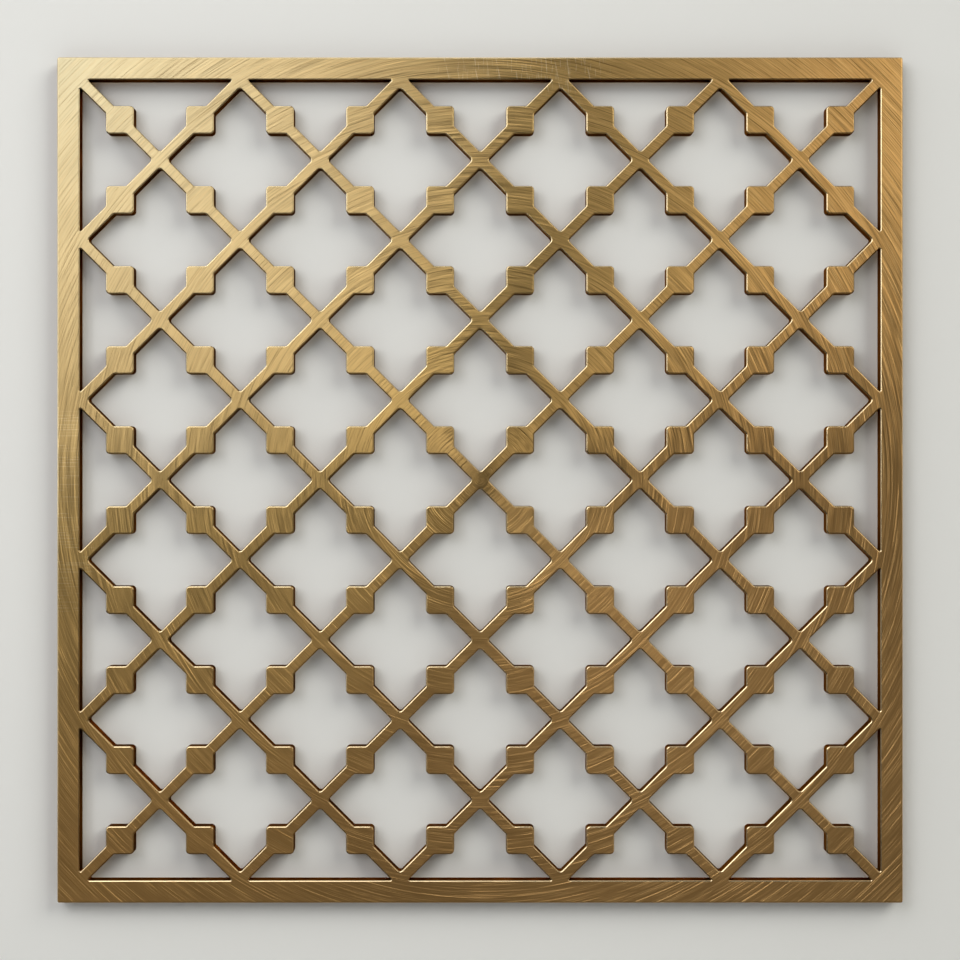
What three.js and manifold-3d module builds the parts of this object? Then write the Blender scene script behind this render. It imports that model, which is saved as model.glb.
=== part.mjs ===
import * as THREE from 'three';
import Module from 'manifold-3d';

// A square brass grille: one flat plate, cut through with windows so that a diagonal lattice
// is left inside a plain border, with a square bead on the middle of every bar. The front
// edges of the border, the bars and the beads are broken at 45 degrees.
//
// Frame: the plate stands upright, +Z up and +X to the right of someone who faces its front.
// The front looks along -Y. The origin is the centre of the flat back face, on the middle
// crossing of the lattice.

// Driving dimensions, in millimetres
const panelWidth = 450;
const panelHeight = 450;
const plateThickness = 8;
const borderWidth = 12;
const barWidth = 6;
const beadSize = 15;
const brokenEdge = 0.9;

// Beads side by side in one row, and rows of them
const columns = 10;
const rows = 10;

// Corner radii, in millimetres. A window's tips are measured on its straight walls, the beads'
// and the rim's corners on the front face, inside the broken edge.
const windowTipRadius = 1.5;
const beadFaceRadius = 0.5;
const rimFaceRadius = 0.2;

// Flats in a rounded corner, and how far the window cutters run past both faces
const cornerFlats = 2;
const cutterOverrun = 0.1;

// One step of the lattice, from a crossing to the next along the border
const pitchX = (panelWidth - 2 * borderWidth) / columns;
const pitchY = (panelHeight - 2 * borderWidth) / rows;

// Seen from a window's centre, the middle line of the bar beside it is
// x / pitchX + y / pitchY = 1. The bar's edge is the same line with this smaller sum.
const edgeSum = 1 - (barWidth / 2) * Math.hypot(1 / pitchX, 1 / pitchY);

// The outward normal of the edge between two corners of a counter-clockwise polygon
function edgeNormal(from, to) {
  return new THREE.Vector2(to.y - from.y, from.x - to.x).normalize();
}

// The points of a polygon with rounded corners, moved outwards by grow. A round keeps its
// centre and its number of points, so outlines that differ in grow alone can be joined.
function roundedOutline(corners, grow) {
  return corners.flatMap((corner, index) => {
    const normalIn = edgeNormal(corners.at(index - 1), corner);
    const normalOut = edgeNormal(corner, corners[(index + 1) % corners.length]);
    const mitre = normalIn.clone().add(normalOut).divideScalar(1 + normalIn.dot(normalOut));
    const point = new THREE.Vector2(corner.x, corner.y);
    if (!corner.radius) {
      return [point.addScaledVector(mitre, grow)];
    }
    const turn = Math.atan2(normalIn.cross(normalOut), normalIn.dot(normalOut));
    const radius = corner.radius * Math.sign(turn);
    const centre = point.addScaledVector(mitre, -radius);
    const origin = new THREE.Vector2();
    return Array.from({ length: cornerFlats + 1 }, (_, step) => {
      const normal = normalIn.clone().rotateAround(origin, turn * step / cornerFlats);
      return centre.clone().addScaledVector(normal, radius + grow);
    });
  });
}

// A closed solid through outlines at rising heights, all with the same number of points
function loft(wasm, levels) {
  const count = levels[0].outline.length;
  const vertices = levels.flatMap(({ height, outline }) => (
    outline.flatMap(({ x, y }) => [x, y, height])
  ));
  const triangles = [];
  const top = count * (levels.length - 1);
  for (let base = 0; base < top; base += count) {
    for (let index = 0; index < count; index += 1) {
      const here = base + index;
      const beside = base + (index + 1) % count;
      triangles.push(here, beside, beside + count);
      triangles.push(here, beside + count, here + count);
    }
  }
  for (const [a, b, c] of THREE.ShapeUtils.triangulateShape(levels[0].outline, [])) {
    triangles.push(c, b, a);
  }
  for (const [a, b, c] of THREE.ShapeUtils.triangulateShape(levels.at(-1).outline, [])) {
    triangles.push(top + a, top + b, top + c);
  }
  return new wasm.Manifold(new wasm.Mesh({
    numProp: 3,
    vertProperties: Float32Array.from(vertices),
    triVerts: Uint32Array.from(triangles),
  }));
}

// The uncut plate, back face down, with its front edge broken all round
function plateBlank(wasm) {
  const corners = [[1, 1], [-1, 1], [-1, -1], [1, -1]].map(([sideX, sideY]) => ({
    x: sideX * panelWidth / 2,
    y: sideY * panelHeight / 2,
    radius: rimFaceRadius + brokenEdge,
  }));
  return loft(wasm, [
    { height: 0, outline: roundedOutline(corners, 0) },
    { height: plateThickness - brokenEdge, outline: roundedOutline(corners, 0) },
    { height: plateThickness, outline: roundedOutline(corners, -brokenEdge) },
  ]);
}

// The corners of the window whose centre is lattice point (column, row), counter-clockwise.
// A window on the border is cut off along the border's inner edge, through its own centre.
function windowCorners(column, row) {
  const beadX = (pitchX - beadSize) / 2;
  const beadY = (pitchY - beadSize) / 2;
  const quarter = [
    { x: edgeSum * pitchX, y: 0, radius: windowTipRadius },
    { x: (edgeSum - beadY / pitchY) * pitchX, y: beadY },
    { x: beadX, y: beadY, radius: beadFaceRadius + brokenEdge },
    { x: beadX, y: (edgeSum - beadX / pitchX) * pitchY },
    { x: 0, y: edgeSum * pitchY, radius: windowTipRadius },
  ];
  // The side that the border takes away: -1 or 1, and 0 for neither
  const takenX = Number(column === columns) - Number(column === 0);
  const takenY = Number(row === rows) - Number(row === 0);
  const isOpen = ([sideX, sideY]) => sideX !== takenX && sideY !== takenY;
  const sides = [[1, 1], [-1, 1], [-1, -1], [1, -1]];
  return sides.flatMap((side, index) => {
    if (!isOpen(side)) {
      return [];
    }
    const [sideX, sideY] = side;
    const mirrored = quarter.map(({ x, y, radius }) => {
      const onBorder = (takenX && x === 0) || (takenY && y === 0);
      return { x: x * sideX, y: y * sideY, radius: onBorder ? 0 : radius };
    });
    const corners = sideX === sideY ? mirrored : mirrored.reverse();
    if (isOpen(sides[(index + 1) % sides.length])) {
      corners.pop();
    } else if (takenX && takenY) {
      corners.push({ x: 0, y: 0 });
    }
    return corners;
  });
}

// The cutter of one window: straight walls, then a flare that breaks the front edge
function windowCutter(wasm, column, row) {
  const corners = windowCorners(column, row);
  const wall = roundedOutline(corners, 0);
  const mouth = roundedOutline(corners, brokenEdge);
  return loft(wasm, [
    { height: -cutterOverrun, outline: wall },
    { height: plateThickness - brokenEdge, outline: wall },
    { height: plateThickness, outline: mouth },
    { height: plateThickness + cutterOverrun, outline: mouth },
  ]).translate([(column - columns / 2) * pitchX, (row - rows / 2) * pitchY, 0]);
}

// Lattice points are crossings and window centres in turn, with a crossing in the first corner
function windowCutters(wasm) {
  const cutters = [];
  for (let row = 0; row <= rows; row += 1) {
    for (let column = 0; column <= columns; column += 1) {
      if ((column + row) % 2 === 1) {
        cutters.push(windowCutter(wasm, column, row));
      }
    }
  }
  return cutters;
}

const brass = new THREE.MeshStandardMaterial({
  name: 'brushed brass',
  color: '#a98b54',
  metalness: 1,
  roughness: 0.38,
  flatShading: true,
});

function grillePlate(wasm) {
  const cut = wasm.Manifold.difference([plateBlank(wasm), ...windowCutters(wasm)]).getMesh();
  const geometry = new THREE.BufferGeometry();
  geometry.setAttribute('position', new THREE.BufferAttribute(cut.vertProperties, cut.numProp));
  geometry.setIndex(new THREE.BufferAttribute(cut.triVerts, 1));
  geometry.computeVertexNormals();
  const plate = new THREE.Mesh(geometry, brass);
  plate.name = 'grille_plate';
  // Stood up from the drawing plane, so that its front looks along -Y
  plate.rotation.x = Math.PI / 2;
  return plate;
}

const wasm = await Module();
wasm.setup();

const grille = new THREE.Group();
grille.name = 'grille';
grille.add(grillePlate(wasm));

export default grille;
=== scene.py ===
import math
from typing import NamedTuple

import bmesh
import bpy
from bpy.props import FloatProperty, FloatVectorProperty, IntProperty, PointerProperty
from bpy.types import Operator, Panel, PropertyGroup
from mathutils import Matrix, Vector, noise
from mathutils.geometry import delaunay_2d_cdt


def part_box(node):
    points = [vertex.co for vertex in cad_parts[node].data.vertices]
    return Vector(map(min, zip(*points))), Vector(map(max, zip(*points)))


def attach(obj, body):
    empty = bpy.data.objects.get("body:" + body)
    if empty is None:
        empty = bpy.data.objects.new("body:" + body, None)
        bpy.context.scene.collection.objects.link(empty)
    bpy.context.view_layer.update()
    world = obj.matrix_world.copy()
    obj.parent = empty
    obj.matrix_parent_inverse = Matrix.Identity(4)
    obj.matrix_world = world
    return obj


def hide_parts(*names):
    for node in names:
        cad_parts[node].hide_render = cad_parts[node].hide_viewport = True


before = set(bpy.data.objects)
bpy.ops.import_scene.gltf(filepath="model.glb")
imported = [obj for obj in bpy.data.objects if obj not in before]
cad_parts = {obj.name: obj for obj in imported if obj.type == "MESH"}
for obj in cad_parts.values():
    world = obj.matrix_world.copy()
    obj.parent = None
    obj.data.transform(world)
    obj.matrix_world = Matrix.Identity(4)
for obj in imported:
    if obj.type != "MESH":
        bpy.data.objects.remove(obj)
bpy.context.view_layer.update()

bl_info = {
    "name": "Brass lattice grille",
    "version": (1, 0, 0),
    "blender": (4, 5, 0),
    "location": "3D View > Sidebar > Grille",
    "description": "A pierced brass plate, brushed in circles, and a stage to show it on",
    "category": "Add Mesh",
}

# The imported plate: its box gives the overall size, and the mesh made here stands for it
NODE = "grille_plate"
BODY = "root"
LOW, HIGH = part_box(NODE)

# One millimetre, in Blender's metres
MM = 0.001

# The order of the plate's two materials
BRUSHED, CUT = 0, 1

# Points of the outlines closer than this are taken as one
WELD = 1e-4 * MM

# How long the waves are in which the arris radius wanders along an edge
ARRIS_WAVE = 14 * MM


class PlateSizes(PropertyGroup):
    """Sizes of the pierced plate. Its overall size comes from the frame."""

    border: FloatProperty(
        name="Border", description="Width of the plain border", default=12 * MM, unit="LENGTH")
    bar: FloatProperty(
        name="Bar", description="Width of a diagonal bar", default=6 * MM, unit="LENGTH")
    bead: FloatProperty(
        name="Bead", description="Side of a square bead", default=15 * MM, unit="LENGTH")
    columns: IntProperty(
        name="Columns", description="Beads side by side in a row", default=10, min=1)
    rows: IntProperty(
        name="Rows", description="Rows of beads", default=10, min=1)
    arris: FloatProperty(
        name="Arris", description="Radius of the rounded front edges",
        default=0.85 * MM, unit="LENGTH")
    arris_drift: FloatProperty(
        name="Arris drift", description="Share by which the arris radius wanders along an edge",
        default=0.1, subtype="FACTOR")
    back_edge: FloatProperty(
        name="Back edge", description="Radius of the eased back edges",
        default=0.2 * MM, unit="LENGTH")
    tip_radius: FloatProperty(
        name="Tip radius", description="Corner radius of a window's tips",
        default=1.5 * MM, unit="LENGTH")
    junction_radius: FloatProperty(
        name="Junction radius", description="Fillet where a bar runs into a bead",
        default=1.2 * MM, unit="LENGTH")
    bead_radius: FloatProperty(
        name="Bead radius", description="Corner radius of a bead", default=2.2 * MM, unit="LENGTH")
    wall_radius: FloatProperty(
        name="Wall radius", description="Fillet where a bar runs into the border",
        default=0.4 * MM, unit="LENGTH")
    rim_radius: FloatProperty(
        name="Rim radius", description="Corner radius of the whole plate",
        default=1.1 * MM, unit="LENGTH")
    run_step: FloatProperty(
        name="Run step", description="Longest stretch of a straight edge without a point",
        default=4 * MM, unit="LENGTH")


class BrassFinish(PropertyGroup):
    """Colours and roughness of the brass."""

    # Painted highlight: the brass is paled towards the top left corner, where the light falls most
    pale: FloatVectorProperty(
        name="Pale brass", description="Brushed brass at the top left corner",
        subtype="COLOR", size=3, default=(0.61, 0.535, 0.34), min=0, max=1)
    face: FloatVectorProperty(
        name="Face", description="Brushed brass of most of the front",
        subtype="COLOR", size=3, default=(0.61, 0.401, 0.143), min=0, max=1)
    # Painted shade: the brass is made deeper and redder towards the sides away from the lit corner
    brown: FloatVectorProperty(
        name="Brown brass", description="Tarnished brass of the sides away from the pale corner",
        subtype="COLOR", size=3, default=(0.582, 0.332, 0.117), min=0, max=1)
    # Tarnish in the scratches, laid on where the face is lit and left off at the lower right, so
    # partly painted shade
    groove_tarnish_and_shade: FloatVectorProperty(
        name="Groove", description="Tarnish left in the scratches",
        subtype="COLOR", size=3, default=(0.24, 0.13, 0.035), min=0, max=1)
    # Painted glints: bright golden lines laid in scratches, most where the face is darker, as if
    # their walls caught the light
    scratch_glint: FloatVectorProperty(
        name="Bare brass", description="Clean golden brass at the bottom of fresh scratches",
        subtype="COLOR", size=3, default=(0.92, 0.6, 0.25), min=0, max=1)
    # Painted shade: the arrises that face up and to the right are darkened, which keeps their
    # highlights down
    up_right_arris_shade: FloatVectorProperty(
        name="Worn brass",
        description="Dull brass of the rounded edges that face up and to the right",
        subtype="COLOR", size=3, default=(0.33, 0.24, 0.135), min=0, max=1)
    # Burnish with a painted highlight: bright cream brass on the arrises that face the upper left,
    # towards the light, and on the stray scratches
    burnish_and_highlight: FloatVectorProperty(
        name="Burnish", description="Clean bright brass of the rounded edges",
        subtype="COLOR", size=3, default=(0.98, 0.85, 0.56), min=0, max=1)
    # Painted shade: the cut walls are made dark brown, as if in shadow
    wall: FloatVectorProperty(
        name="Cut walls", description="Dark brown scale on the cut walls",
        subtype="COLOR", size=3, default=(0.17, 0.07, 0.011), min=0, max=1)
    # Painted light: the cut walls that face left are lighter, as if the light reached them
    left_wall_light: FloatVectorProperty(
        name="Thin scale", description="Lighter brown of the cut walls that face left",
        subtype="COLOR", size=3, default=(0.31, 0.14, 0.022), min=0, max=1)
    back: FloatVectorProperty(
        name="Back", description="Plain unpolished back",
        subtype="COLOR", size=3, default=(0.45, 0.29, 0.11), min=0, max=1)
    roughness: FloatProperty(
        name="Roughness", description="Roughness of the brushed face",
        default=0.436, subtype="FACTOR")
    burnished: FloatProperty(
        name="Burnished roughness", description="Roughness of the rounded front edges",
        default=0.21, subtype="FACTOR")
    anisotropy: FloatProperty(
        name="Anisotropy",
        description="How much rougher the face is across the strokes than along them",
        default=0.68, subtype="FACTOR")
    # How far the painted highlight reaches from the top left corner
    highlight_reach: FloatProperty(
        name="Pale reach", description="How far the pale brass reaches from its corner",
        default=260 * MM, unit="LENGTH")
    # Where the painted shade of the far sides comes in full, measured from the top left corner
    far_shade_reach: FloatProperty(
        name="Brown reach", description="From the pale corner to where the brass is brownest",
        default=420 * MM, unit="LENGTH")


class StageSettings(PropertyGroup):
    """Backdrop, lights and camera."""

    backdrop: FloatVectorProperty(
        name="Backdrop", description="Colour of the floor and the sheet behind",
        subtype="COLOR", size=3, default=(0.82, 0.82, 0.81), min=0, max=1)
    camera_distance: FloatProperty(
        name="Camera distance", description="From the plate's front to the camera",
        default=1.03, unit="LENGTH")
    fill: FloatProperty(
        name="Fill", description="Share of the picture's width that the plate takes up",
        default=0.8812, subtype="FACTOR")
    gap: FloatProperty(
        name="Gap", description="From the plate's back to the sheet behind it",
        default=2 * MM, unit="LENGTH")


def edge_normal(start, end):
    """The outward normal of an edge of a counter-clockwise outline."""
    return Vector((end.y - start.y, start.x - end.x)).normalized()


def rounded_outline(corners, run_step, flat_angle=math.radians(15)):
    """(point, outward normal) pairs along an outline given as (corner, radius) pairs.

    The outline runs counter-clockwise. A straight run gets further points, run_step apart at most.
    """
    rounds = []
    for index, (corner, radius) in enumerate(corners):
        normal_in = edge_normal(corners[index - 1][0], corner)
        normal_out = edge_normal(corner, corners[(index + 1) % len(corners)][0])
        turn = normal_in.angle_signed(normal_out) * -1
        reach = math.copysign(radius, turn)
        mitre = (normal_in + normal_out) / (1 + normal_in.dot(normal_out))
        centre = corner - mitre * reach
        flats = max(2, round(abs(turn) / flat_angle))
        arc = []
        for step in range(flats + 1):
            normal = Matrix.Rotation(turn * step / flats, 2) @ normal_in
            arc.append((centre + normal * reach, normal))
        rounds.append(arc)
    outline = []
    for index, arc in enumerate(rounds):
        outline.extend(arc)
        end, normal = arc[-1]
        start = rounds[(index + 1) % len(rounds)][0][0]
        pieces = max(1, math.ceil((start - end).length / run_step))
        outline.extend((end.lerp(start, piece / pieces), normal) for piece in range(1, pieces))
    return outline


def window_corners(sizes, pitch, column, row):
    """The (corner, radius) pairs of the window round one lattice point, seen from its centre.

    A window on the border is cut off along the border's inner edge, through its own centre.
    """
    bar_sum = 1 - sizes.bar / 2 * math.hypot(1 / pitch.x, 1 / pitch.y)
    bead_x = (pitch.x - sizes.bead) / 2
    bead_y = (pitch.y - sizes.bead) / 2
    quarter = [
        (Vector((bar_sum * pitch.x, 0)), sizes.tip_radius),
        (Vector(((bar_sum - bead_y / pitch.y) * pitch.x, bead_y)), sizes.junction_radius),
        (Vector((bead_x, bead_y)), sizes.bead_radius),
        (Vector((bead_x, (bar_sum - bead_x / pitch.x) * pitch.y)), sizes.junction_radius),
        (Vector((0, bar_sum * pitch.y)), sizes.tip_radius),
    ]
    taken = Vector((
        (column == sizes.columns) - (column == 0),
        (row == sizes.rows) - (row == 0),
    ))
    sides = [Vector((1, 1)), Vector((-1, 1)), Vector((-1, -1)), Vector((1, -1))]

    def is_open(side):
        return side.x != taken.x and side.y != taken.y

    corners = []
    for index, side in enumerate(sides):
        if not is_open(side):
            continue
        mirrored = [(point * side, radius) for point, radius in quarter]
        for end in (0, -1):
            point = mirrored[end][0]
            if (taken.x and not point.x) or (taken.y and not point.y):
                mirrored[end] = (point, sizes.wall_radius)
        if side.x != side.y:
            mirrored.reverse()
        if is_open(sides[(index + 1) % len(sides)]):
            mirrored.pop()
        elif taken.x and taken.y:
            mirrored.append((Vector((0, 0)), sizes.wall_radius))
        corners.extend(mirrored)
    return corners


def plate_outlines(sizes):
    """The plate's rim and its windows, each as (point, normal into the metal) pairs."""
    half = Vector((HIGH.x - LOW.x, HIGH.z - LOW.z)) / 2
    centre = Vector((HIGH.x + LOW.x, HIGH.z + LOW.z)) / 2
    inner = (half - Vector((sizes.border, sizes.border))) * 2
    pitch = Vector((inner.x / sizes.columns, inner.y / sizes.rows))
    rim_corners = [
        (half * Vector(side), sizes.rim_radius) for side in ((1, 1), (-1, 1), (-1, -1), (1, -1))
    ]
    rim = rounded_outline(rim_corners, sizes.run_step)
    outlines = [[(centre + point, -normal) for point, normal in rim]]
    for row in range(sizes.rows + 1):
        for column in range(sizes.columns + 1):
            if (column + row) % 2 == 0:
                continue
            place = centre + Vector((
                (column - sizes.columns / 2) * pitch.x,
                (row - sizes.rows / 2) * pitch.y,
            ))
            window = rounded_outline(window_corners(sizes, pitch, column, row), sizes.run_step)
            outlines.append([(place + point, normal) for point, normal in window])
    return outlines


class Ring(NamedTuple):
    """One ring of points round a cut wall.

    It lies into the metal and off its side's flat by shares of the radius of that side's edge, and
    its normal has a part out of the metal and a part to the back.
    """

    side: str
    step_in: float
    step_off: float
    outward: float
    backward: float


def wall_profile(arris_flats=5, back_flats=2):
    """The rings of a cut wall, from the back face to the front."""
    steps = [("back", 1, step, back_flats) for step in range(back_flats, -1, -1)]
    steps += [("front", -1, step, arris_flats) for step in range(arris_flats + 1)]
    profile = []
    for side, way, step, flats in steps:
        angle = math.pi / 2 * step / flats
        cosine, sine = math.cos(angle), math.sin(angle)
        profile.append(Ring(side, 1 - cosine, 1 - sine, cosine, way * sine))
    return profile


def arris_at(sizes, point):
    """The arris radius at a place, wandering a little along the edge."""
    wander = noise.noise(Vector((point.x, point.y, 0)) / ARRIS_WAVE)
    return sizes.arris * (1 + sizes.arris_drift * wander)


def cap_triangles(outlines):
    """Triangles over the metal between the rim and the windows, as (outline, index) triples."""
    loops = [[point / MM for point in outline] for outline in outlines]
    points = [point for loop in loops for point in loop]
    owners = [(o, i) for o, loop in enumerate(loops) for i in range(len(loop))]
    edges = []
    base = 0
    for loop in loops:
        count = len(loop)
        edges.extend((base + i, base + (i + 1) % count) for i in range(count))
        base += count
    found, _, faces, originals, _, _ = delaunay_2d_cdt(points, edges, [], 0, WELD / MM, True)
    if len(found) != len(points):
        raise RuntimeError("the plate's outlines touch or cross")
    rim, *windows = loops
    boxes = []
    for loop in windows:
        xs, ys = zip(*loop)
        boxes.append((min(xs), max(xs), min(ys), max(ys), loop))
    triangles = []
    for face in faces:
        centre = sum((found[i] for i in face), Vector((0, 0))) / 3
        if not inside(rim, centre):
            continue
        open_here = any(
            low_x < centre.x < high_x and low_y < centre.y < high_y and inside(loop, centre)
            for low_x, high_x, low_y, high_y, loop in boxes
        )
        if not open_here:
            triangles.append([owners[originals[i][0]] for i in face])
    return triangles


def inside(loop, point):
    """True if a point lies inside a closed loop."""
    crossings = 0
    before = loop[-1]
    for here in loop:
        if (before.y > point.y) != (here.y > point.y):
            cut = before.x + (point.y - before.y) / (here.y - before.y) * (here.x - before.x)
            crossings += cut > point.x
        before = here
    return crossings % 2 == 1


def plate_mesh(sizes):
    """The pierced plate with rounded front edges and exact normals."""
    outlines = plate_outlines(sizes)
    profile = wall_profile()
    vertices = []
    normals = []
    faces = []
    finishes = []
    caps = {"back": [], "front": []}
    first_of = []
    for outline in outlines:
        count = len(outline)
        first = len(vertices)
        first_of.append(first)
        cap_loops = {"back": [], "front": []}
        for ring in profile:
            for point, metal in outline:
                if ring.side == "back":
                    radius = sizes.back_edge
                    y = HIGH.y - radius * ring.step_off
                else:
                    radius = arris_at(sizes, point)
                    y = LOW.y + radius * ring.step_off
                place = point + metal * radius * ring.step_in
                vertices.append((place.x, y, place.y))
                normals.append((-metal.x * ring.outward, ring.backward, -metal.y * ring.outward))
                if ring.step_off == 0:
                    cap_loops[ring.side].append(place)
        for level, ring in enumerate(profile[:-1]):
            for index in range(count):
                here = first + level * count + index
                beside = first + level * count + (index + 1) % count
                faces.append((here, beside, beside + count, here + count))
                finishes.append(BRUSHED if ring.side == "front" else CUT)
        for side, loop in cap_loops.items():
            caps[side].append(loop)
    for side, level, finish in (("back", 0, CUT), ("front", len(profile) - 1, BRUSHED)):
        for triangle in cap_triangles(caps[side]):
            faces.append([first_of[o] + level * len(outlines[o]) + i for o, i in triangle])
            finishes.append(finish)
    mesh = bpy.data.meshes.new("brass_grille")
    mesh.from_pydata(vertices, [], faces)
    mesh.polygons.foreach_set("material_index", finishes)
    shell = bmesh.new()
    shell.from_mesh(mesh)
    bmesh.ops.recalc_face_normals(shell, faces=shell.faces)
    if any(len(edge.link_faces) != 2 for edge in shell.edges):
        raise RuntimeError("the plate isn't closed")
    shell.to_mesh(mesh)
    shell.free()
    mesh.polygons.foreach_set("use_smooth", [True] * len(mesh.polygons))
    mesh.normals_split_custom_set_from_vertices(normals)
    mesh.update()
    return mesh


# Noise mostly stays between these
NOISE_LOW, NOISE_HIGH = 0.3, 0.7


class ScratchSet(NamedTuple):
    """One set of scratches: their sizes, and how far their walls lean the face each way."""

    lane: float
    length: float
    width: float
    tilt: float
    share: float
    seed: float
    across: float = 0.0
    along: float = 0.0


# Scratches that run with the strokes
SCRATCHES = (
    ScratchSet(4.2 * MM, 44 * MM, 0.40 * MM, 0.40, 0.85, 4.37, 0.36, 0.10),
    ScratchSet(2.5 * MM, 36 * MM, 0.38 * MM, 0.35, 0.90, 9.61, 0.25, 0.09),
    ScratchSet(1.5 * MM, 28 * MM, 0.36 * MM, 0.30, 0.90, 13.3, 0.18, 0.06),
    ScratchSet(0.95 * MM, 19 * MM, 0.34 * MM, 0.25, 0.90, 17.23, 0.12, 0.05),
)
# Stray ones that run across the strokes, and how much of each kind shows
UPRIGHT_STRAYS = ScratchSet(5.3 * MM, 11 * MM, 0.55 * MM, 0.4, 0.7, 5.2)
SHORT_STRAYS = ScratchSet(2.6 * MM, 4.5 * MM, 0.5 * MM, 0.4, 0.6, 2.9)
LEVEL_STRAYS = ScratchSet(1.6 * MM, 13 * MM, 0.5 * MM, 0.3, 0.8, 7.9)
STRAYS_SHOW, SHORT_STRAYS_SHOW, LEVEL_STRAYS_SHOW = 0.6, 0.6, 0.5
UPRIGHT_SLANT = 0.16
# Where they lie along the top and left borders, with the blur of the ends, and how far in from the
# rim they fade out
TOP_STRETCH = (-22 * MM, 68 * MM, 3 * MM)
LEFT_STRETCH = (-70 * MM, 36 * MM, 3 * MM)
STRAYS_FADE, STRAYS_END = 16 * MM, 22 * MM
# Whether a set's lanes are rings round the middle or straight
RINGS, STRAIGHT = 1.0, 0.0
# Share of a lane's width that its scratches keep to
LANE_ROOM = 0.85
# How soon a scratch's strength, its section and its ends come up to full
STRENGTH_GAIN, CORE_GAIN, END_GAIN = 1.5, 1.8, 6.0
# How far a scratch's walls lean, and what moves the lean from the near wall to the far one
WALL_LEAN, FAR_WALL_LEAN = 2.0, 0.6

# Parts of the normal towards the back, -1 on the flat face, between which a mask comes or goes
FACE_END = (-0.99, -0.90)
ARRIS_START = (-0.99, -0.94)
ARRIS_END = (-0.75, -0.45)
FRONT_END = (-0.6, -0.1)
BACK_START = (0.1, 0.5)
# Cosines of an arris's direction as seen from the front: where it counts as facing up and right,
# where its burnish and painted highlight come in towards the upper left, and where it faces
# straight up or sideways
UP_RIGHT = (0.72, 0.97)
ARRIS_HIGHLIGHT_START = (-1.1, 0.2)
SQUARE_ON = (0.8, 0.97)
# Least square of the normal's sideways part, so that it can be divided by
TINY = 1e-4

# Sway of the strokes, and the size of the patches in the finish
SWAY_SIZE, SWAY = 40 * MM, 0.6 * MM
PATCH_SIZE = 30 * MM
# Width, arc and seed of the two grains
FINE_GRAIN = (0.6 * MM, 0.16, 3.0)
BANDS = (2.4 * MM, 0.3, 11.0)
# How far the fine grain leans the face, what the scratches lean it by on the whole, and how much
# more they lean it in the middle
FINE_LEAN = 0.25
MEAN_LEAN = 0.036
STEEPER_MIDDLE = (10 * MM, 90 * MM, 2.5, 0.98)

# Where the lower right comes in, by x less z, and the upper right, by x plus z
LOWER_RIGHT = (0.0, 260 * MM)
UPPER_RIGHT = (60 * MM, 320 * MM)
# How fast the painted highlight of the pale corner gives way, and how grain, bands, patches and the
# painted shade of the middle shade the colour
HIGHLIGHT_CURVE = 0.8
FINE_SHADE, BAND_SHADE, PATCH_SHADE = 0.05, 0.02, 0.03
# Painted shade: the colour is darkened at the middle, and a little further round it
PAINTED_MIDDLE_SHADE = (0.0, 24 * MM, -0.26, 0.0)
PAINTED_WIDE_MIDDLE_SHADE = (20 * MM, 90 * MM, -0.16, 0.0)
# How much of a coat shows: tarnish with painted shade and painted glints in the scratches, painted
# shade on the arrises that face up and right, and burnish with a painted highlight on the others
GROOVE_TARNISH_AND_SHADE, GROOVE_TARNISH_AND_SHADE_UPPER_RIGHT = 0.36, 0.4
SCRATCH_GLINT, SCRATCH_GLINT_UPPER_RIGHT, SCRATCH_GLINT_LOWER_RIGHT = 0.18, 0.5, 0.4
UP_RIGHT_ARRIS_SHADE = 0.9
BURNISH_AND_HIGHLIGHT, LESS_HIGHLIGHT_FAR = 0.96, 0.22
# What the fine grain adds to the roughness
GRAIN_ROUGHNESS = 0.02
# Colour that the brass takes on at a grazing angle
GRAZING_TINT = (0.85, 0.62, 0.38, 1.0)

# How far polishing has turned the arrises that face up, left and right, near the pale corner and
# on the rim, and where the rim, its upper part and its left part lie
UP_TURN, UP_TURN_PALE, UP_TURN_RIM = 0.06, 0.24, 0.22
LEFT_TURN_PALE, LEFT_TURN_RIM = 0.2, 0.22
RIGHT_TURN, RIGHT_TURN_RIM = 0.08, 0.1
RIM = (-3 * MM, -1.5 * MM)
UPPER_RIM = (-190 * MM, 60 * MM)
LEFT_RIM = (40 * MM, 130 * MM)
# The strokes close up in the middle, and run straight across it in this direction instead
STRAIGHT_MIDDLE = (3 * MM, 13 * MM)
MIDDLE_STROKES = (-0.98, 0, 0.17)
# Turns the rougher way of the face from the strokes' own direction to the one across them
QUARTER_TURN = 0.25

# The walls' painted shade: its mottle, where it gives way to painted light on the walls that face
# left, and the saw's marks
MOTTLE_SIZE = 9 * MM
DARKER_WALL_SHADE, DARK_BACK = 0.6, 0.8
LEFT_WALL_LIGHT_END = (-1.0, -0.3)
WALL_ROUGHNESS, BACK_ROUGHNESS, MOTTLE_ROUGHNESS = 0.5, 0.55, 0.06
SAW_MARK_SIZE, SAW_STRETCH = 0.8 * MM, (1, 0.08, 1)
SAW_MARK_STRENGTH, SAW_MARK_DEPTH = 0.25, 0.05 * MM
# Dark tint of the walls' grazing reflections, which keeps them as dark as their painted shade
WALL_SHADE_GRAZING_TINT = (0.12, 0.05, 0.02, 1.0)


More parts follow.
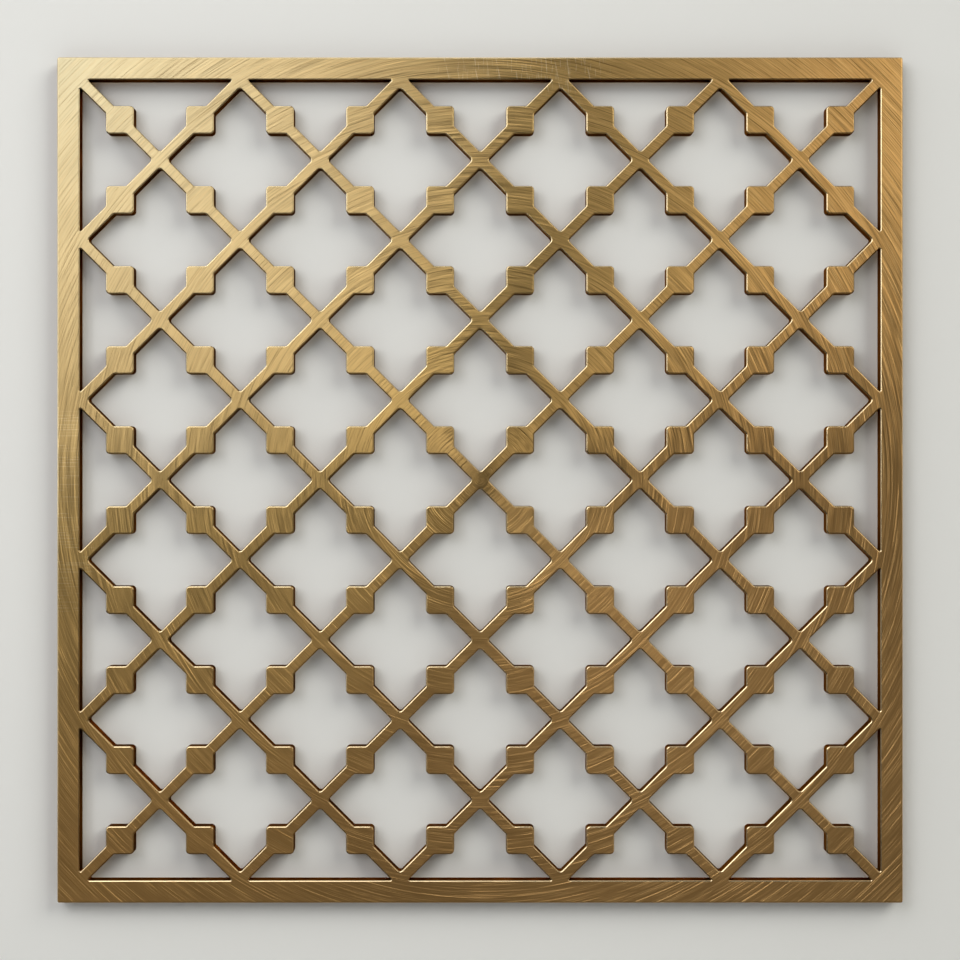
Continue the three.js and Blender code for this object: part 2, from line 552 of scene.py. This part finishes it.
class Nodes:
    """A short way to add and link the nodes of one tree."""

    def __init__(self, tree):
        self.tree = tree

    def add(self, kind, inputs=(), **settings):
        """Adds a node, sets its properties, and fills its inputs by name or number."""
        node = self.tree.nodes.new(kind)
        for name, value in settings.items():
            setattr(node, name, value)
        for key, value in dict(inputs).items():
            if isinstance(value, Field):
                value = value.socket
            if isinstance(value, bpy.types.NodeSocket):
                self.tree.links.new(value, node.inputs[key])
            else:
                node.inputs[key].default_value = value
        return node

    def math(self, operation, *values):
        """A Math node's result."""
        node = self.add("ShaderNodeMath", dict(enumerate(values)), operation=operation)
        return Field(self, node.outputs["Value"])

    def largest(self, first, second):
        """The larger of two numbers."""
        return self.math("MAXIMUM", first, second)

    def vector(self, operation, *values):
        """A Vector Math node's vector."""
        node = self.add("ShaderNodeVectorMath", dict(enumerate(values)), operation=operation)
        return node.outputs["Vector"]

    def scale(self, vector, factor):
        """A vector made longer or shorter."""
        node = self.add("ShaderNodeVectorMath", {0: vector, "Scale": factor}, operation="SCALE")
        return node.outputs["Vector"]

    def distance(self, first, second):
        """How far two places lie apart."""
        node = self.add("ShaderNodeVectorMath", {0: first, 1: second}, operation="DISTANCE")
        return Field(self, node.outputs["Value"])

    def combine(self, x=0.0, y=0.0, z=0.0):
        """A vector made of three numbers."""
        return self.add("ShaderNodeCombineXYZ", {"X": x, "Y": y, "Z": z}).outputs["Vector"]

    def parts(self, vector):
        """A vector's three numbers."""
        node = self.add("ShaderNodeSeparateXYZ", {0: vector})
        return [Field(self, part) for part in node.outputs]

    def noise(self, place, size, detail=1.0):
        """Noise with grains of about one size, mostly between NOISE_LOW and NOISE_HIGH."""
        inputs = {"Vector": place, "Scale": 1 / size, "Detail": detail}
        return Field(self, self.add("ShaderNodeTexNoise", inputs).outputs["Fac"])

    def random(self, *seeds):
        """A random number from 0 to 1 and a random vector, drawn by up to three seeds."""
        node = self.add(
            "ShaderNodeTexWhiteNoise", {"Vector": self.combine(*seeds)}, noise_dimensions="3D")
        return Field(self, node.outputs["Value"]), node.outputs["Color"]

    def mix(self, kind, share, first, second, **settings):
        """Two numbers, vectors or colours mixed by a share.

        The node's sockets are picked by number, because their names repeat.
        """
        place = ("FLOAT", "VECTOR", "RGBA").index(kind)
        inputs = {0: share, 2 * place + 2: first, 2 * place + 3: second}
        return self.add("ShaderNodeMix", inputs, data_type=kind, **settings).outputs[place]


class Field:
    """A number that varies over the surface. Sums with it add Math nodes to its tree."""

    def __init__(self, nodes, socket):
        self.nodes = nodes
        self.socket = socket

    def __add__(self, other):
        return self.nodes.math("ADD", self, other)

    def __sub__(self, other):
        return self.nodes.math("SUBTRACT", self, other)

    def __rsub__(self, other):
        return self.nodes.math("SUBTRACT", other, self)

    def __mul__(self, other):
        return self.nodes.math("MULTIPLY", self, other)

    def __truediv__(self, other):
        return self.nodes.math("DIVIDE", self, other)

    def __rtruediv__(self, other):
        return self.nodes.math("DIVIDE", other, self)

    def __neg__(self):
        return self.nodes.math("MULTIPLY", self, -1.0)

    def __abs__(self):
        return self.nodes.math("ABSOLUTE", self)

    def whole(self):
        """The whole number below this one."""
        return self.nodes.math("FLOOR", self)

    def clamped(self):
        """This number, fresh from a sum, kept between 0 and 1."""
        self.socket.node.use_clamp = True
        return self

    def remap(self, low, high, to_low, to_high, line="SMOOTHSTEP"):
        """This number taken from one range to another, smoothly unless told otherwise."""
        node = self.nodes.add("ShaderNodeMapRange", {
            "Value": self, "From Min": low, "From Max": high, "To Min": to_low, "To Max": to_high,
        }, interpolation_type=line)
        return Field(self.nodes, node.outputs["Result"])

    def rise(self, low, high):
        """0 up to the first limit and 1 from the second one on."""
        return self.remap(low, high, 0.0, 1.0)

    def fall(self, low, high):
        """1 up to the first limit and 0 from the second one on."""
        return self.remap(low, high, 1.0, 0.0)

    def within(self, low, high, blur):
        """1 between two limits and 0 outside them, with blurred ends."""
        return self.rise(low - blur, low + blur) * self.fall(high - blur, high + blur)

    def spread(self, low, high):
        """This noise spread over a range."""
        return self.remap(NOISE_LOW, NOISE_HIGH, low, high)


def total(fields):
    """The sum of several fields."""
    first, *rest = fields
    return sum(rest, first)


def opaque(colour, share=1.0):
    """A colour property as four numbers, darkened to a share of it."""
    return (*(part * share for part in colour), 1.0)


def emptied(owner):
    """A helper for the emptied node tree of a material or a world."""
    owner.use_nodes = True
    owner.node_tree.nodes.clear()
    return Nodes(owner.node_tree)


def new_group(name, inputs, outputs):
    """An empty shader node group: its helper, and its inputs by name.

    Inputs and outputs are given with their defaults: a number, or None for a vector.
    """
    tree = bpy.data.node_groups.new(name, "ShaderNodeTree")
    for in_out, sockets in (("INPUT", inputs), ("OUTPUT", outputs)):
        for label, default in sockets.items():
            kind = "NodeSocketVector" if default is None else "NodeSocketFloat"
            socket = tree.interface.new_socket(label, in_out=in_out, socket_type=kind)
            if default is not None:
                socket.default_value = default
    nodes = Nodes(tree)
    given = nodes.add("NodeGroupInput").outputs
    return nodes, {
        label: given[label] if default is None else Field(nodes, given[label])
        for label, default in inputs.items()
    }


def polar_group():
    """Where a place lies round the plate's centre: radius, share of a full turn, and heading."""
    nodes, given = new_group(
        "Polar place", {"Position": None}, {"Radius": 0.0, "Turn": 0.0, "Heading": None})
    flat = nodes.vector("MULTIPLY", given["Position"], (1, 0, 1))
    x, _, z = nodes.parts(flat)
    nodes.add("NodeGroupOutput", {
        "Radius": nodes.distance(flat, (0, 0, 0)),
        "Turn": nodes.math("ARCTAN2", z, x) * (0.5 / math.pi) + 0.5,
        "Heading": nodes.vector("NORMALIZE", flat),
    })
    return nodes.tree


def grain_group():
    """Noise drawn out into arcs round the plate's centre: one value from 0 to 1."""
    nodes, given = new_group("Circular grain", {
        "Radius": 0.0,
        "Heading": None,
        "Width": 1 * MM,
        "Arc": 0.2,
        "Seed": 0.0,
    }, {"Value": 0.0})
    along = nodes.scale(given["Heading"], 1.0 / given["Arc"])
    across = nodes.combine(given["Seed"], given["Radius"] / given["Width"], given["Seed"])
    value = nodes.noise(nodes.vector("ADD", along, across), 1.0)
    nodes.add("NodeGroupOutput", {"Value": value})
    return nodes.tree


def scratches_group():
    """Single V-shaped scratches, one at most in each cell of a grid of lanes.

    Lean says how far the scratch's two walls lean across the lane: below 0 on the far wall, which
    is the wider one, and above 0 on the near one. Along is a lean along the lane, drawn for each
    scratch. Line is 1 in the scratch's middle and 0 away from it. Round is 1 where the lanes are
    rings and Turn is a share of a full turn, and 0 where the lanes are straight and Turn is a
    length in metres.
    """
    nodes, given = new_group("Scratches", {
        "Across": 0.0,
        "Turn": 0.0,
        "Round": 1.0,
        "Lane": 3 * MM,
        "Length": 12 * MM,
        "Width": 0.5 * MM,
        "Tilt": 0.4,
        "Share": 0.5,
        "Seed": 0.0,
    }, {"Lean": 0.0, "Along": 0.0, "Line": 0.0})
    lanes = given["Across"] / given["Lane"] + given["Seed"]
    lane = lanes.whole()
    # Each lane starts somewhere else, and has cells of about the same length
    middle = lane + 0.5 - given["Seed"]
    ring_girth = middle * given["Lane"] * (2 * math.pi)
    girth = Field(nodes, nodes.mix("FLOAT", given["Round"], 1.0, ring_girth))
    count = nodes.largest((girth / given["Length"]).whole(), 2.0)
    phase, _ = nodes.random(lane, given["Seed"])
    cells = nodes.math("FRACT", given["Turn"] + phase) * count
    cell = cells.whole()
    along = cells - cell
    lean_draw, draws = nodes.random(lane, given["Seed"], cell + 0.5)
    place_draw, slope_draw, strength_draw = nodes.parts(draws)
    # The scratch crosses its cell at a slope, somewhere within its lane
    slope = (slope_draw - 0.5) * given["Tilt"]
    start = (place_draw - 0.5) * (LANE_ROOM - given["Tilt"]) + 0.5
    line = (along - 0.5) * slope + start
    # From -1 to 1 across the scratch
    offset = (lanes - lane - line) * given["Lane"] / (given["Width"] * 0.5)
    strength = ((strength_draw + given["Share"] - 1.0) / given["Share"]).clamped()
    strength = (strength * STRENGTH_GAIN).clamped()
    core = ((1.0 - abs(offset)) * CORE_GAIN).clamped()
    ends = (along * (1.0 - along) * END_GAIN).clamped()
    value = core * ends * strength
    nodes.add("NodeGroupOutput", {
        "Lean": (offset * -WALL_LEAN - FAR_WALL_LEAN) * value,
        "Along": (lean_draw * 2.0 - 1.0) * value,
        "Line": value,
    })
    return nodes.tree


class BrushedBrass:
    """The front's brass, brushed in circles, with burnished arrises, painted highlights and painted
    shade.
    """

    def __init__(self, nodes, finish):
        self.nodes = nodes
        self.finish = finish
        coordinates = nodes.add("ShaderNodeTexCoord").outputs
        self.position = coordinates["Object"]
        self.normal = coordinates["Normal"]
        self.x, _, self.z = nodes.parts(self.position)
        polar = nodes.add(
            "ShaderNodeGroup", {"Position": self.position}, node_tree=polar_group()).outputs
        self.heading = polar["Heading"]
        self.from_middle = Field(nodes, polar["Radius"])
        self.find_edges()
        self.find_regions()
        self.brush(polar["Turn"])

    def find_edges(self):
        """Masks of the flat face and of its arrises, by the way that they face."""
        facing_x, facing_y, facing_z = self.nodes.parts(self.normal)
        # 1 on the front and its arrises, falling to 0 where the arrises meet the cut walls
        self.front = facing_y.fall(*FRONT_END)
        self.face = 1.0 - facing_y.rise(*FACE_END)
        arris = facing_y.fall(*ARRIS_END) * facing_y.rise(*ARRIS_START)
        sideways = self.nodes.math("SQRT", self.nodes.largest(1.0 - facing_y * facing_y, TINY))
        self.faces_right = facing_x / sideways
        self.faces_up = facing_z / sideways
        # The arrises get burnish and a painted highlight most where they face the upper left,
        # towards the light, and least where they face up and right
        up_right = (facing_x + facing_z) * math.sqrt(0.5) / sideways
        up_left = (facing_z - facing_x) * math.sqrt(0.5) / sideways
        to_up_right = up_right.rise(*UP_RIGHT)
        self.burnished = arris * (up_left.rise(*ARRIS_HIGHLIGHT_START) * (1.0 - to_up_right))
        # The arrises that face up and right, which get painted shade
        self.up_right_arrises = (1.0 - self.face) * to_up_right

    def find_regions(self):
        """Masks of the panel's regions, from the pale corner's painted highlight to the brown
        sides' painted shade.
        """
        finish = self.finish
        from_corner = self.nodes.distance(self.position, (LOW.x, LOW.y, HIGH.z))
        self.highlight_fade = from_corner.remap(0.0, finish.highlight_reach, 0.0, 1.0, "LINEAR")
        self.far_shade_end = from_corner.remap(
            finish.highlight_reach, finish.far_shade_reach, 0.0, 1.0, "LINEAR")
        self.lower_right = (self.x - self.z).rise(*LOWER_RIGHT)
        self.upper_right = (self.x + self.z).rise(*UPPER_RIGHT)

    def brush(self, turn):
        """Grain and scratches that run in circles, and the lean that they give the face."""
        nodes = self.nodes
        # The strokes sway in and out a little
        radius = nodes.noise(self.position, SWAY_SIZE, 0.0) * SWAY + self.from_middle
        grain_tree = grain_group()
        self.fine, self.bands = (
            Field(nodes, nodes.add("ShaderNodeGroup", {
                "Radius": radius, "Heading": self.heading, "Width": width, "Arc": arc, "Seed": seed,
            }, node_tree=grain_tree).outputs["Value"])
            for width, arc, seed in (FINE_GRAIN, BANDS)
        )
        self.patches = nodes.noise(self.position, PATCH_SIZE)
        self.scratches_tree = scratches_group()
        leans, alongs, lines = zip(*(
            self.scratches(each, radius, turn, RINGS) for each in SCRATCHES))
        # Every other set gets tarnish and painted shade, and the rest painted glints
        self.even_sets = nodes.largest(lines[0], lines[2])
        self.odd_sets = nodes.largest(lines[1], lines[3])
        across = total(lean * each.across for lean, each in zip(leans, SCRATCHES))
        along = total(lean * each.along for lean, each in zip(alongs, SCRATCHES))
        # The wide far walls lean the face as a whole, which the mean lean takes back
        across = (across + MEAN_LEAN) * self.from_middle.remap(*STEEPER_MIDDLE)
        fine_lean = (self.fine - 0.5) * FINE_LEAN
        self.lean_across = across + fine_lean
        self.lean_along = along + fine_lean

    def scratches(self, each, across, turn, ring):
        """One set of scratches: its leans across and along its lanes, and its lines."""
        outputs = self.nodes.add("ShaderNodeGroup", {
            "Across": across, "Turn": turn, "Round": ring, "Lane": each.lane,
            "Length": each.length, "Width": each.width, "Tilt": each.tilt, "Share": each.share,
            "Seed": each.seed,
        }, node_tree=self.scratches_tree).outputs
        return [Field(self.nodes, outputs[name]) for name in ("Lean", "Along", "Line")]

    def strays(self):
        """Stray scratches across the strokes, on a stretch of the top and of the left border."""
        x, z, largest = self.x, self.z, self.nodes.largest
        on_top = x.within(*TOP_STRETCH) * z.rise(HIGH.z - STRAYS_END, HIGH.z - STRAYS_FADE)
        on_left = z.within(*LEFT_STRETCH) * x.fall(LOW.x + STRAYS_FADE, LOW.x + STRAYS_END)
        _, _, upright = self.scratches(UPRIGHT_STRAYS, z * UPRIGHT_SLANT + x, z, STRAIGHT)
        _, _, short = self.scratches(SHORT_STRAYS, x, z, STRAIGHT)
        _, _, level = self.scratches(LEVEL_STRAYS, z, x, STRAIGHT)
        upper = largest(upright, short * SHORT_STRAYS_SHOW) * on_top
        return largest(upper, level * on_left * LEVEL_STRAYS_SHOW)

    def colour(self):
        """Brass from the pale corner's painted highlight to the brown sides' painted shade, with
        its scratches and its edges over it.
        """
        nodes, finish = self.nodes, self.finish
        # Painted highlight: pale brass at the top left corner, giving way to the face
        highlight_gone = nodes.math("POWER", self.highlight_fade, HIGHLIGHT_CURVE)
        colour = nodes.mix("RGBA", highlight_gone, opaque(finish.pale), opaque(finish.face))
        # Painted shade: deeper, redder brass towards the far sides
        colour = nodes.mix("RGBA", self.far_shade_end, colour, opaque(finish.brown))
        shade = total((
            self.fine.spread(1.0 - FINE_SHADE, 1.0 + FINE_SHADE),
            self.bands.spread(-BAND_SHADE, BAND_SHADE),
            self.patches.spread(-PATCH_SHADE, PATCH_SHADE),
            # Painted shade at the middle
            self.from_middle.remap(*PAINTED_MIDDLE_SHADE),
            self.from_middle.remap(*PAINTED_WIDE_MIDDLE_SHADE),
        ))
        colour = nodes.mix(
            "RGBA", 1.0, colour, nodes.combine(shade, shade, shade), blend_type="MULTIPLY")
        coats = (
            # Half of the scratches get tarnish and painted shade, but at the lower right painted
            # glints instead; the other half get painted glints, more at the upper right
            (self.even_sets * (1.0 - self.lower_right) * GROOVE_TARNISH_AND_SHADE, finish.groove_tarnish_and_shade),
            (self.even_sets * self.upper_right * GROOVE_TARNISH_AND_SHADE_UPPER_RIGHT, finish.groove_tarnish_and_shade),
            (self.odd_sets * (self.upper_right * SCRATCH_GLINT_UPPER_RIGHT + SCRATCH_GLINT), finish.scratch_glint),
            (self.even_sets * self.lower_right * SCRATCH_GLINT_LOWER_RIGHT, finish.scratch_glint),
            # Painted glints: the stray scratches in the bright burnish colour
            (self.strays() * STRAYS_SHOW, finish.burnish_and_highlight),
            # Painted shade on the arrises that face up and right
            (self.up_right_arrises * self.highlight_fade * UP_RIGHT_ARRIS_SHADE, finish.up_right_arris_shade),
            # Burnish with a painted highlight on the arrises, less of it towards the far sides
            (self.burnished * (BURNISH_AND_HIGHLIGHT - self.far_shade_end * LESS_HIGHLIGHT_FAR), finish.burnish_and_highlight),
        )
        for share, coat in coats:
            colour = nodes.mix("RGBA", share, colour, opaque(coat))
        # The arrises run into the walls' painted shade where they meet them
        return nodes.mix("RGBA", self.front, opaque(finish.wall), colour)

    def roughness(self):
        """The face's roughness, and the lower one of the burnished arrises."""
        finish = self.finish
        brushed = self.fine.spread(-GRAIN_ROUGHNESS, GRAIN_ROUGHNESS) + finish.roughness
        return brushed - self.burnished * (finish.roughness - finish.burnished)

    def turned_arrises(self):
        """How polishing has leaned the arrises: those facing up to the left, and the flanks up."""
        nodes = self.nodes
        low, high = SQUARE_ON
        up = self.faces_up.rise(low, high)
        right = self.faces_right.rise(low, high)
        left = self.faces_right.fall(-high, -low)
        # Measured outwards from the rim of the plate, which the frame centres in x and z
        rim = nodes.largest(abs(self.x) - HIGH.x, abs(self.z) - HIGH.z).rise(*RIM)
        near_pale = 1.0 - self.highlight_fade
        upper_rim = rim * self.z.rise(*UPPER_RIM)
        left_rim = rim * self.x.fall(*LEFT_RIM)
        up_turn = (near_pale * UP_TURN_PALE + UP_TURN) * (1.0 - self.upper_right)
        up_turn = up_turn + left_rim * UP_TURN_RIM
        left_turn = near_pale * LEFT_TURN_PALE + upper_rim * LEFT_TURN_RIM
        right_turn = self.upper_right * RIGHT_TURN + upper_rim * RIGHT_TURN_RIM
        turned = nodes.combine(x=-(up_turn * up), z=left_turn * left + right_turn * right)
        return nodes.scale(turned, 1.0 - self.face)

    def relief(self):
        """The normal as the strokes, the scratches and the polishing have leaned it."""
        nodes = self.nodes
        stroke_way = nodes.vector("CROSS_PRODUCT", self.heading, (0, 1, 0))
        leans = nodes.vector(
            "ADD",
            nodes.scale(self.heading, self.lean_across * self.face),
            nodes.scale(stroke_way, self.lean_along * self.face),
        )
        leaned = nodes.vector("ADD", self.normal, leans)
        leaned = nodes.vector("NORMALIZE", nodes.vector("ADD", leaned, self.turned_arrises()))
        # A normal map holds the range from -1 to 1 as 0 to 1
        packed = nodes.vector("MULTIPLY_ADD", leaned, (0.5, 0.5, 0.5), (0.5, 0.5, 0.5))
        return nodes.add("ShaderNodeNormalMap", {"Color": packed}, space="OBJECT").outputs[0]

    def stroke_tangent(self):
        """The way of the strokes: round the middle, and straight across close to it."""
        nodes = self.nodes
        radial = nodes.add("ShaderNodeTangent", direction_type="RADIAL", axis="Y").outputs[0]
        straight = nodes.add(
            "ShaderNodeVectorTransform", {0: MIDDLE_STROKES}, vector_type="VECTOR",
            convert_from="OBJECT", convert_to="WORLD").outputs[0]
        return nodes.mix("VECTOR", self.from_middle.fall(*STRAIGHT_MIDDLE), radial, straight)


def brushed_material(finish):
    """Brass brushed in circles, with burnished arrises, painted highlights and painted shade."""
    material = bpy.data.materials.new("brushed_brass")
    nodes = emptied(material)
    brass = BrushedBrass(nodes, finish)
    shader = nodes.add("ShaderNodeBsdfPrincipled", {
        "Base Color": brass.colour(),
        "Metallic": 1.0,
        "Specular Tint": GRAZING_TINT,
        "Roughness": brass.roughness(),
        "Anisotropic": finish.anisotropy,
        "Anisotropic Rotation": QUARTER_TURN,
        "Tangent": brass.stroke_tangent(),
        "Normal": brass.relief(),
    })
    nodes.add("ShaderNodeOutputMaterial", {"Surface": shader.outputs[0]})
    return material


def cut_material(finish):
    """Cut walls darkened as painted shade, lighter where they face left as painted light, and the
    plain back.
    """
    material = bpy.data.materials.new("cut_brass")
    nodes = emptied(material)
    coordinates = nodes.add("ShaderNodeTexCoord").outputs
    facing_x, facing_y, _ = nodes.parts(coordinates["Normal"])
    back = facing_y.rise(*BACK_START)
    mottle = nodes.noise(coordinates["Object"], MOTTLE_SIZE, 3.0)
    saw_marks = nodes.noise(
        nodes.vector("MULTIPLY", coordinates["Object"], SAW_STRETCH), SAW_MARK_SIZE)
    mottle_share = mottle.spread(0.0, 1.0)
    # Painted shade on the walls, mottled, and painted light on those that face left
    wall_shade_colour = nodes.mix(
        "RGBA", mottle_share, opaque(finish.wall, DARKER_WALL_SHADE), opaque(finish.wall))
    wall_shade_colour = nodes.mix(
        "RGBA", facing_x.fall(*LEFT_WALL_LIGHT_END), wall_shade_colour, opaque(finish.left_wall_light))
    back_colour = nodes.mix(
        "RGBA", mottle_share, opaque(finish.back), opaque(finish.back, DARK_BACK))
    roughness = back.remap(0.0, 1.0, WALL_ROUGHNESS, BACK_ROUGHNESS)
    relief = nodes.add("ShaderNodeBump", {
        "Height": saw_marks, "Strength": SAW_MARK_STRENGTH, "Distance": SAW_MARK_DEPTH})
    shader = nodes.add("ShaderNodeBsdfPrincipled", {
        "Base Color": nodes.mix("RGBA", back, wall_shade_colour, back_colour),
        "Metallic": 1.0,
        "Roughness": roughness + mottle.spread(-MOTTLE_ROUGHNESS, MOTTLE_ROUGHNESS),
        "Specular Tint": WALL_SHADE_GRAZING_TINT,
        "Normal": relief.outputs[0],
    })
    nodes.add("ShaderNodeOutputMaterial", {"Surface": shader.outputs[0]})
    return material


class GRILLE_OT_plate(Operator):
    """Make the pierced brass plate in the frame's place"""

    bl_idname = "grille.plate"
    bl_label = "Brass plate"

    def execute(self, context):
        scene = context.scene
        mesh = plate_mesh(scene.grille_sizes)
        mesh.materials.append(brushed_material(scene.grille_finish))
        mesh.materials.append(cut_material(scene.grille_finish))
        plate = bpy.data.objects.new("brass_grille", mesh)
        scene.collection.objects.link(plate)
        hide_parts(NODE)
        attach(plate, BODY)
        return {"FINISHED"}


class SoftLight(NamedTuple):
    """A square area light.

    Clock is its direction as seen on the plate's front, in degrees counter-clockwise from the
    right, and tilt its angle in degrees off the straight line from the plate to the camera.
    """

    name: str
    clock: float
    tilt: float
    distance: float
    size: float
    power: float
    colour: tuple = (1.0, 1.0, 1.0)


LIGHTS = (
    SoftLight("key", 135.5, 31.8, 1.22, 0.85, 5.15),
    SoftLight("side", 40, 56.5, 5.0, 3.06, 136, (1.0, 0.988, 0.897)),
    SoftLight("rim", 135.7, 65, 3.0, 3.0, 26.7),
    SoftLight("upper", 96, 70, 3.0, 2.0, 6.5),
    SoftLight("left", 174, 70, 3.0, 2.0, 5.5),
    SoftLight("rear", 60, 140, 2.5, 2.0, 25),
)

# How far the floor and the sheet reach, and how far the floor lies below the plate
REACH = 4.0
FLOOR_DROP = 1.4
MATT_ROUGHNESS, MATT_SHINE = 0.9, 0.1
# The world as the camera sees it, and the dim light that it gives
SEEN_WORLD = (0.8, 0.8, 0.79)
WORLD_LIGHT = (0.034, 0.035, 0.035)


def one_sided(colour):
    """A matt backdrop that can't be seen from behind and casts no shadow."""
    material = bpy.data.materials.new("pale_backdrop")
    nodes = emptied(material)
    matt = nodes.add("ShaderNodeBsdfPrincipled", {
        "Base Color": opaque(colour),
        "Roughness": MATT_ROUGHNESS,
        "Specular IOR Level": MATT_SHINE,
    })
    clear = nodes.add("ShaderNodeBsdfTransparent")
    hidden = nodes.largest(
        nodes.add("ShaderNodeNewGeometry").outputs["Backfacing"],
        nodes.add("ShaderNodeLightPath").outputs["Is Shadow Ray"],
    )
    mix = nodes.add("ShaderNodeMixShader", {0: hidden, 1: matt.outputs[0], 2: clear.outputs[0]})
    nodes.add("ShaderNodeOutputMaterial", {"Surface": mix.outputs[0]})
    return material


def sheet(name, corners, material):
    """A flat four-cornered sheet for the stage."""
    mesh = bpy.data.meshes.new(name)
    mesh.from_pydata(corners, [], [tuple(range(len(corners)))])
    mesh.materials.append(material)
    item = bpy.data.objects.new(name, mesh)
    bpy.context.scene.collection.objects.link(item)
    return item


def hang_light(item, target):
    """Makes one of the soft lights, facing target."""
    light = bpy.data.lights.new(item.name, "AREA")
    light.shape = "SQUARE"
    light.size = item.size
    light.energy = item.power
    light.color = item.colour
    lamp = bpy.data.objects.new(item.name, light)
    clock, tilt = math.radians(item.clock), math.radians(item.tilt)
    away = Vector((
        math.cos(clock) * math.sin(tilt),
        -math.cos(tilt),
        math.sin(clock) * math.sin(tilt),
    ))
    lamp.location = target + away * item.distance
    lamp.rotation_mode = "QUATERNION"
    lamp.rotation_quaternion = away.to_track_quat("Z", "Y")
    lamp.visible_camera = False
    bpy.context.scene.collection.objects.link(lamp)


def surroundings(seen, light):
    """A world that looks pale and lights the plate dimly."""
    world = bpy.data.worlds.new("studio")
    nodes = emptied(world)
    is_seen = nodes.add("ShaderNodeLightPath").outputs["Is Camera Ray"]
    colour = nodes.mix("RGBA", is_seen, opaque(light), opaque(seen))
    background = nodes.add("ShaderNodeBackground", {"Color": colour})
    nodes.add("ShaderNodeOutputWorld", {"Surface": background.outputs[0]})
    return world


class GRILLE_OT_stage(Operator):
    """Make the floor, the sheet behind the plate, the lights and the camera"""

    bl_idname = "grille.stage"
    bl_label = "Stage"

    def execute(self, context):
        scene = context.scene
        stage = scene.grille_stage
        centre = (LOW + HIGH) / 2
        material = one_sided(stage.backdrop)
        wall_y = HIGH.y + stage.gap
        floor_z = LOW.z - FLOOR_DROP
        sheet("backdrop", [
            (-REACH, wall_y, floor_z), (REACH, wall_y, floor_z),
            (REACH, wall_y, REACH), (-REACH, wall_y, REACH),
        ], material)
        floor = sheet("floor", [
            (-REACH, -REACH, floor_z), (REACH, -REACH, floor_z),
            (REACH, REACH, floor_z), (-REACH, REACH, floor_z),
        ], material)
        # The floor lights the plate from below, but isn't mirrored in it
        floor.visible_glossy = False
        front = Vector((centre.x, LOW.y, centre.z))
        for item in LIGHTS:
            hang_light(item, front)
        scene.world = surroundings(SEEN_WORLD, WORLD_LIGHT)
        scene.view_settings.view_transform = "Standard"
        camera = bpy.data.objects.new("camera", bpy.data.cameras.new("camera"))
        camera.location = front - Vector((0, stage.camera_distance, 0))
        camera.rotation_euler = (math.radians(90), 0, 0)
        width = HIGH.x - LOW.x
        camera.data.lens = camera.data.sensor_width * stage.camera_distance * stage.fill / width
        scene.collection.objects.link(camera)
        scene.camera = camera
        return {"FINISHED"}


class GRILLE_PT_sidebar(Panel):
    """The plate's sizes and finish, and its stage"""

    bl_idname = "GRILLE_PT_sidebar"
    bl_label = "Brass grille"
    bl_space_type = "VIEW_3D"
    bl_region_type = "UI"
    bl_category = "Grille"

    def draw(self, context):
        for owner, maker in (
            (context.scene.grille_sizes, None),
            (context.scene.grille_finish, GRILLE_OT_plate.bl_idname),
            (context.scene.grille_stage, GRILLE_OT_stage.bl_idname),
        ):
            column = self.layout.column(align=True)
            for name in owner.__annotations__:
                column.prop(owner, name)
            if maker:
                self.layout.operator(maker)


CLASSES = (
    PlateSizes, BrassFinish, StageSettings, GRILLE_OT_plate, GRILLE_OT_stage, GRILLE_PT_sidebar)


def register():
    for each in CLASSES:
        bpy.utils.register_class(each)
    bpy.types.Scene.grille_sizes = PointerProperty(type=PlateSizes)
    bpy.types.Scene.grille_finish = PointerProperty(type=BrassFinish)
    bpy.types.Scene.grille_stage = PointerProperty(type=StageSettings)


def unregister():
    del bpy.types.Scene.grille_stage
    del bpy.types.Scene.grille_finish
    del bpy.types.Scene.grille_sizes
    for each in reversed(CLASSES):
        bpy.utils.unregister_class(each)


def main():
    register()
    bpy.ops.grille.plate()
    bpy.ops.grille.stage()


if __name__ == "__main__":
    main()
